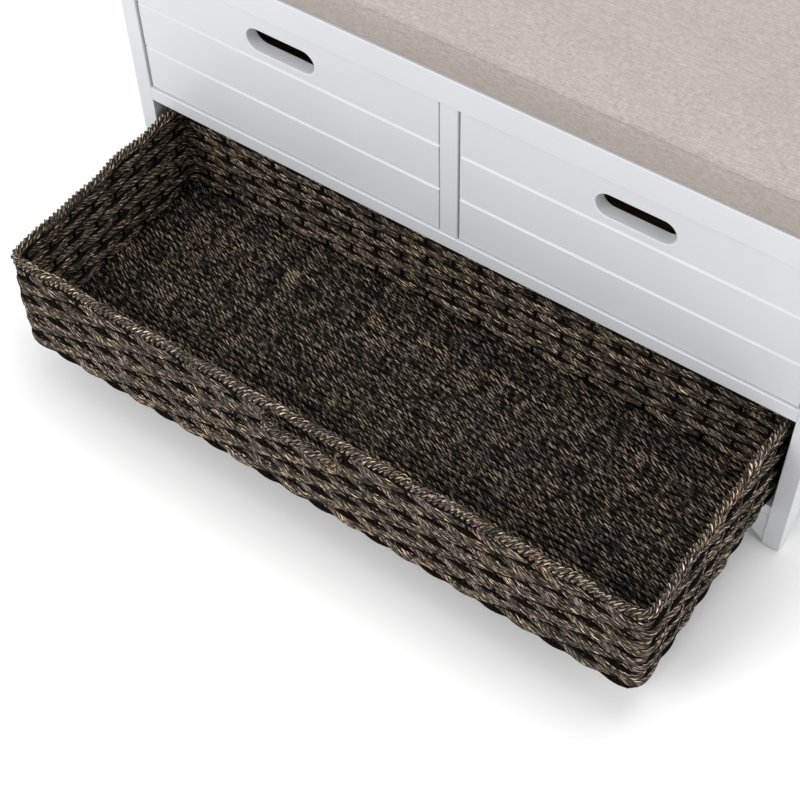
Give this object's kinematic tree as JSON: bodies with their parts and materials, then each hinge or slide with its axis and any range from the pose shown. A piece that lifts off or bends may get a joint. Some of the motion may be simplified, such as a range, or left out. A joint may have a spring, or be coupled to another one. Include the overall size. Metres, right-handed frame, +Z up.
{
  "type": "entryway bench",
  "caption": "Painted wooden hall bench with plank-front drawers, a wide woven basket on the shelf below and a loose linen seat cushion.",
  "frame": {"origin": "on the floor, at the centre of the box that the bench takes up with its basket drawn out as stored", "axes": "+Z up, +X along the bench to the right when its front is faced, -Y towards the person who uses it"},
  "size_m": [0.825, 0.594, 0.4908],
  "materials": {
    "painted_wood": "satin off-white paint",
    "bare_wood": "plain sanded softwood",
    "plywood": "thin plywood",
    "hardwood": "plain beech",
    "zinc_steel": "zinc plated",
    "glide_plastic": "moulded",
    "seagrass": "dyed, hand-twisted seagrass rope",
    "black_wire": "black coated wire",
    "linen": "slubby linen-look weave",
    "foam": "open-cell foam"
  },
  "bodies": {
    "carcass": {"side_panel_left": "painted_wood", "side_panel_right": "painted_wood", "top_rail": "painted_wood", "top_panel": "painted_wood", "divider_panel": "painted_wood", "drawer_deck": "painted_wood", "basket_shelf": "painted_wood", "back_panel": "painted_wood", "foot_bracket_front_left": "painted_wood", "foot_bracket_front_right": "painted_wood", "foot_bracket_back_left": "painted_wood", "foot_bracket_back_right": "painted_wood", "runner_left_outer": "hardwood", "runner_left_inner": "hardwood", "runner_right_inner": "hardwood", "runner_right_outer": "hardwood", "cam_locks": "zinc_steel", "cam_bolts": "zinc_steel", "dowels": "hardwood", "runner_screws": "zinc_steel", "divider_screws": "zinc_steel", "back_panel_screws": "zinc_steel", "foot_glides": "glide_plastic"},
    "drawer_left": {"drawer_left_front": "painted_wood", "drawer_left_side_outer": "bare_wood", "drawer_left_side_inner": "bare_wood", "drawer_left_back": "bare_wood", "drawer_left_bottom": "plywood", "drawer_left_dowels": "hardwood", "drawer_left_screws": "zinc_steel"},
    "drawer_right": {"drawer_right_front": "painted_wood", "drawer_right_side_outer": "bare_wood", "drawer_right_side_inner": "bare_wood", "drawer_right_back": "bare_wood", "drawer_right_bottom": "plywood", "drawer_right_dowels": "hardwood", "drawer_right_screws": "zinc_steel"},
    "basket": {"basket_walls": "seagrass", "basket_floor": "seagrass", "basket_rim": "seagrass", "basket_wire": "black_wire"},
    "cushion": {"cushion_cover": "linen", "cushion_foam": "foam"}
  },
  "joints": [
    {"name": "drawer_left_slide", "type": "slide", "parent": "carcass", "child": "drawer_left", "axis": [0, -1, 0], "range_m": [0, 0.23]},
    {"name": "drawer_right_slide", "type": "slide", "parent": "carcass", "child": "drawer_right", "axis": [0, -1, 0], "range_m": [0, 0.23]},
    {"name": "basket_slide", "type": "slide", "parent": "carcass", "child": "basket", "axis": [0, -1, 0], "range_m": [-0.258, 0.036]},
    {"name": "cushion_lift", "type": "slide", "parent": "carcass", "child": "cushion", "axis": [0, 0, 1], "range_m": [0, 0.15]}
  ]
}
